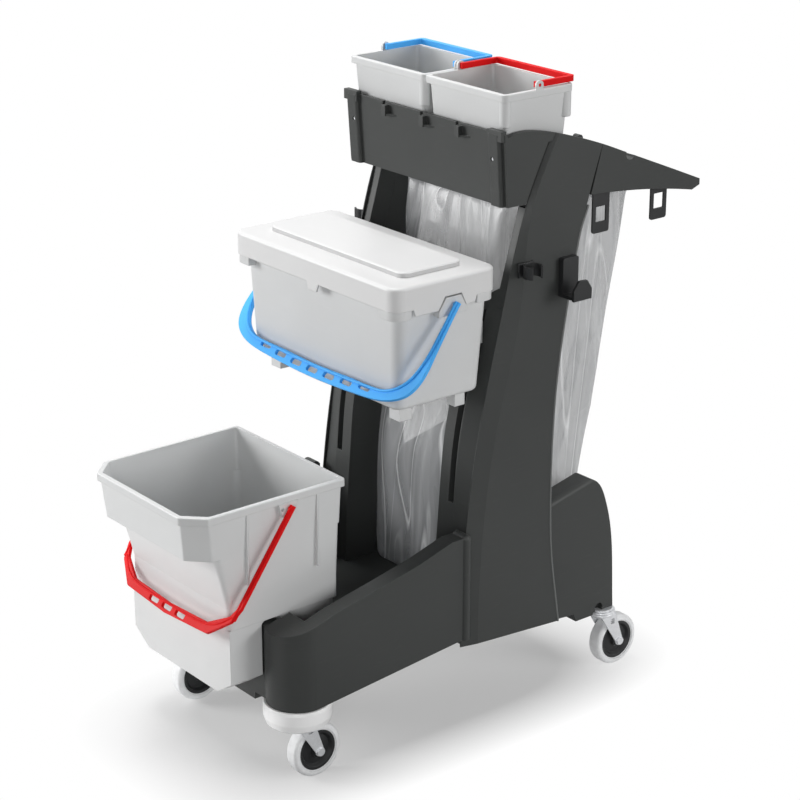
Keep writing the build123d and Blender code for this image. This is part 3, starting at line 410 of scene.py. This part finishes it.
def placed(name, data):
    """A new object in the scene."""
    thing = bpy.data.objects.new(name, data)
    bpy.context.scene.collection.objects.link(thing)
    return thing


def piece(name, points, slot, body, caps=(True, True)):
    """A tube through an array of points (rows, columns, 3), one quad between neighbours, as a finished piece.

    The last column joins the first; caps close the first and the last row with a flat face."""
    rows, columns = points.shape[:2]
    index = np.arange(rows * columns).reshape(rows, columns)
    joined = np.concatenate([index, index[:, :1]], axis=1)
    quads = np.stack([joined[:-1, :-1], joined[:-1, 1:], joined[1:, 1:], joined[1:, :-1]], axis=-1)
    faces = quads.reshape(-1, 4).tolist()
    ends = (index[0, ::-1].tolist(), index[-1].tolist())
    faces += [end for end, closed in zip(ends, caps) if closed]
    mesh = bpy.data.meshes.new(name)
    mesh.from_pydata(points.reshape(-1, 3).tolist(), [], faces)
    mesh.polygons.foreach_set("use_smooth", np.ones(len(faces), bool))
    mesh.update()
    thing = dressed(placed(name, mesh), slot)
    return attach(thing, body)


def through(points, count):
    """A smooth curve through the points: Catmull-Rom, each point's slope from its two neighbours."""
    known = np.array(points, float)
    ends = np.concatenate([[2 * known[0] - known[1]], known, [2 * known[-1] - known[-2]]])
    at = np.linspace(0, len(known) - 1, count)
    start = np.minimum(at.astype(int), len(known) - 2)
    t = (at - start)[:, None]
    p0, p1, p2, p3 = (ends[start + k] for k in range(4))
    return 0.5 * (2 * p1 + (p2 - p0) * t + (2 * p0 - 5 * p1 + 4 * p2 - p3) * t ** 2
                  + (3 * p1 - p0 - 3 * p2 + p3) * t ** 3)


def carried(path, profile, normal):
    """A flat profile carried along a path: its first measure lies square to the path and to normal, its
    second along normal."""
    tangent = np.gradient(path, axis=0)
    sideways = np.cross(normal, tangent)
    sideways /= np.linalg.norm(sideways, axis=1, keepdims=True)
    return path[:, None] + profile[None, :, :1] * sideways[:, None] + profile[None, :, 1:] * np.array(normal)


def rounded_bar(width, height, corner):
    """Outline of a bar with rounded edges: four quarter circles."""
    turn = np.linspace(0, TAU / 4, CORNER_STEPS)
    quarters = np.arange(4)[:, None] * TAU / 4 + turn
    across = np.array([1, -1, -1, 1])[:, None] * (width / 2 - corner) + corner * np.cos(quarters)
    along = np.array([1, 1, -1, -1])[:, None] * (height / 2 - corner) + corner * np.sin(quarters)
    return np.stack([across.ravel(), along.ravel()], axis=-1)


def pivot(body):
    """Where the axis of a body's joint lies, seen from the side: along and up."""
    return next(joint["pos_m"][1:] for joint in frame["joints"] if joint["child"] == body)


def bail_bead(name, body, slot, edge, hang, bead):
    """Raised bead along the inside of a bail: a rounded bar carried along the bail's inner edge, both halves.

    The edge is drawn square on and swung forward from hanging by hang, round the bail's own pivot."""
    right = np.array(edge)
    sideways, down = through(np.concatenate([right, right[-2::-1] * (-1, 1)]), BEAD_ROWS).T
    along, up = pivot(body)
    path = np.stack([sideways, along - down * math.sin(hang), up - down * math.cos(hang)], axis=-1)
    normal = (0.0, -math.cos(hang), math.sin(hang))
    return piece(name, carried(path, rounded_bar(*bead), normal), slot, body)


def cover_lip(side, sign):
    """Rolled lip down a cover's rear edge: a rounded bar carried along that edge, in a lighter charcoal that is a
    painted highlight.
    """
    along, up = through(COVER_LIP, LIP_ROWS).T
    path = np.stack([np.full(LIP_ROWS, sign * LIP_X), along, up], axis=-1)
    bar = carried(path, rounded_bar(*LIP_BAR), (1.0, 0.0, 0.0))
    return dressed(piece(f"cover_lip_{side}", bar, "dark_plastic", ROOT), "lip_painted_highlight")


def bag_outline(turn, half_front, half_rear, front, rear, power):
    """Plan of the bag: a superellipse by angle, r = (|cos|^p + |sin|^p)^(-1/p), stretched from front to rear,
    with its half width growing from half_front to half_rear on the way."""
    c, s = np.cos(turn), np.sin(turn)
    r = (np.abs(c) ** power + np.abs(s) ** power) ** (-1 / power)
    depth = (r * s + 1) / 2
    return r * c * (half_front + (half_rear - half_front) * depth), front + (rear - front) * depth


def bag_folds(turn, height):
    """Folds of hanging film, in metres outwards of its outline: sharp waves of several counts, FOLD_MIDDLE
    less |sin| to the power FOLD_SHARPNESS, each slanting and swaying on its way up.  They are deepest in the
    middle and pulled flat at the bars."""
    rng = np.random.default_rng(FOLD_SEED)
    fold = 0.0
    for count, depth in FOLDS:
        phase = rng.uniform(0, TAU)
        slant = rng.uniform(-FOLD_SLANT, FOLD_SLANT)
        sway = rng.uniform(*FOLD_SWAY) * np.sin(FOLD_SWAY_RISE * height + phase)
        wave = np.sin(count * turn / 2 + phase + slant * height + sway)
        fold = fold + depth * (FOLD_MIDDLE - np.abs(wave) ** FOLD_SHARPNESS)
    return FOLD_UNIT * np.interp(height, *FOLD_EASE) * fold


def bag_wall(turn):
    """Wall of the bag: each level is a superellipse between those of BAG_LEVELS, squarer near the bars, with
    the folds added along its radius."""
    level, half_front, half_rear, front, rear = through(BAG_LEVELS, WALL_ROWS).T[:, :, None]
    height = (level - level[0]) / (level[-1] - level[0])
    power = BAG_POWER + SQUARING * height ** SQUARING_RISE
    x, y = bag_outline(turn, half_front, half_rear, front, rear, power)
    middle = (front + rear) / 2
    out = 1 + bag_folds(turn, height) / np.hypot(x, y - middle)
    return np.stack([x * out, middle + (y - middle) * out, level + 0 * x], axis=-1)


def bag_floor(foot):
    """Floor of the bag: the foot of its wall, shrunk towards its middle row by row."""
    centre = np.array([0.0, sum(BAG_LEVELS[0][3:]) / 2, BAG_LEVELS[0][0]])
    return centre + (foot - centre) * np.linspace(*FLOOR_REACH, FLOOR_ROWS)[:, None, None]


def bag_cuff(turn):
    """Film folded over the bars: it runs round them by angle, from inside over the top, and hangs outside
    them to a hem of sine waves."""
    radius = BAR_R + FILM_GAP
    bar_x, bar_y = bag_outline(turn, BAR_HALF, BAR_HALF, *BAR_SPAN, BAR_POWER)
    out_x = np.sign(np.cos(turn)) * np.abs(np.cos(turn)) ** BAR_POWER
    out_y = np.sign(np.sin(turn)) * np.abs(np.sin(turn)) ** BAR_POWER
    size = np.hypot(out_x, out_y)
    hem = CUFF + sum(depth * np.sin(count * turn) for count, depth in HEM_WAVES)
    over = np.linspace(TAU / 2 + LAP_UNDER, 0, LAP_ROWS)[:, None] + 0 * turn
    hang = np.linspace(CUFF_START, 1, CUFF_ROWS)[:, None] * hem
    lap = np.concatenate([radius * np.cos(over), radius + 0 * hang])
    rise = np.concatenate([radius * np.sin(over), -hang])
    return np.stack([bar_x + lap * out_x / size, bar_y + lap * out_y / size, BAR_Z + rise], axis=-1)


def waste_bag():
    """Film bag carried up from the middle of its floor to the bars and folded over them."""
    turn = np.linspace(0, TAU, BAG_COLUMNS, endpoint=False)[None, :]
    wall = bag_wall(turn)
    film = np.concatenate([bag_floor(wall[0]), wall, bag_cuff(turn)])
    bag = piece("waste_bag_film", film, "clear_film", ROOT, caps=(True, False))
    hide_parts("waste_bag")
    return bag


def floor_finish():
    """Pale floor that keeps the rendered shadow under the object inside a painted shadow patch, where the floor is
    darker, turning into the background's white round it.

    The shadow's place is a superellipse with the half sizes of SHADOW_HALF.  The light that the floor throws
    back on to the object fades with the distance from its middle, and towards the direction FLOOR_DARK."""
    material, wire, place, shader = started("studio_floor")
    x, y = (place.axis(name) for name in "XY")
    half_x, half_y = SHADOW_HALF
    # Painted shadow patch: the darker floor shows inside the superellipse, white emission outside it.
    across = (x / half_x) ** SHADOW_POWER + ((y - SHADOW_MIDDLE) / half_y) ** SHADOW_POWER
    outside_shadow_patch = (across ** (1 / SHADOW_POWER)).long_ramp(SHADOW_REACH, *SHADOW_EDGE)
    distance = (x * x + y * y) ** 0.5
    cosine = (x * FLOOR_DARK[0] + y * FLOOR_DARK[1]) / distance
    bounce = distance.long_ramp(BOUNCE_REACH, *FLOOR_BOUNCE) * cosine.ramp(*DARK_SECTOR)
    tone = place.noise(scale=3, detail=3).blend(grey(FLOOR_TONE), grey(FLOOR_TONE + FLOOR_DRIFT))
    seen = place.node("LightPath", output="Is Camera Ray")
    wire.feed(shader, {"Base Color": seen.blend(bounce, tone), "Roughness": 0.9})
    white = place.node("Emission", {}, {"Color": grey(1.0), "Strength": 1.0})
    mixed = place.node("MixShader", {}, {0: outside_shadow_patch * seen, 1: Wire(wire.tree, shader.outputs[0]), 2: white})
    wire.feed(wire.tree.nodes["Material Output"], {"Surface": mixed})
    return material


def studio_floor():
    """Broad floor, a hair under the wheels."""
    corners = [(x * FLOOR_HALF, y * FLOOR_HALF, FLOOR_Z) for x, y in ((-1, -1), (1, -1), (1, 1), (-1, 1))]
    mesh = bpy.data.meshes.new("studio_floor")
    mesh.from_pydata(corners, [], [(0, 1, 2, 3)])
    mesh.materials.append(floor_finish())
    ground = placed("studio_floor", mesh)


def surroundings():
    """White where they are seen, mirrored or looked through, and faint as a light."""
    world = bpy.data.worlds.new("studio")
    bpy.context.scene.world = world
    world.use_nodes = True
    wire = Wire(world.node_tree)
    seen, mirrored, passed = (wire.node("LightPath", output=f"Is {ray} Ray")
                              for ray in ("Camera", "Glossy", "Transmission"))
    shown = (seen + mirrored + passed).clamped()
    wire.feed(world.node_tree.nodes["Background"],
              {"Color": grey(1.0), "Strength": AMBIENT + shown * (1 - AMBIENT)})


def aimed(thing, place, direction):
    """Put a lamp or a camera in its place, looking in that direction."""
    thing.location = place
    thing.rotation_euler = direction.to_track_quat("-Z", "Y").to_euler()


def lamps():
    """Soft square lamps, each aimed at its own point."""
    for name, place, aim, size, power in LAMPS:
        light = bpy.data.lights.new(name, "AREA")
        light.size = size
        light.energy = power
        aimed(placed(name, light), place, Vector(aim) - Vector(place))


def photograph_camera():
    """Camera at the photograph's own place, angle and lens."""
    azimuth, elevation = (math.radians(angle) for angle in EYE_ANGLES)
    level = math.cos(elevation)
    camera = placed("camera", bpy.data.cameras.new("camera"))
    aimed(camera, EYE, Vector((-math.sin(azimuth) * level, math.cos(azimuth) * level, -math.sin(elevation))))
    camera.data.lens = LENS
    camera.data.sensor_width = SENSOR
    bpy.context.scene.camera = camera


dress_nodes()
bail_bead("blue_bail_bead", "mop_box_bail", "blue_plastic", BLUE_EDGE, BLUE_HANG, BLUE_BEAD)
bail_bead("red_bail_bead", "large_bail", "red_plastic", RED_EDGE, RED_HANG, RED_BEAD)
for side, sign in SIDES:
    cover_lip(side, sign)
waste_bag()
studio_floor()
surroundings()
lamps()
photograph_camera()
bpy.context.scene.view_settings.view_transform = "Standard"
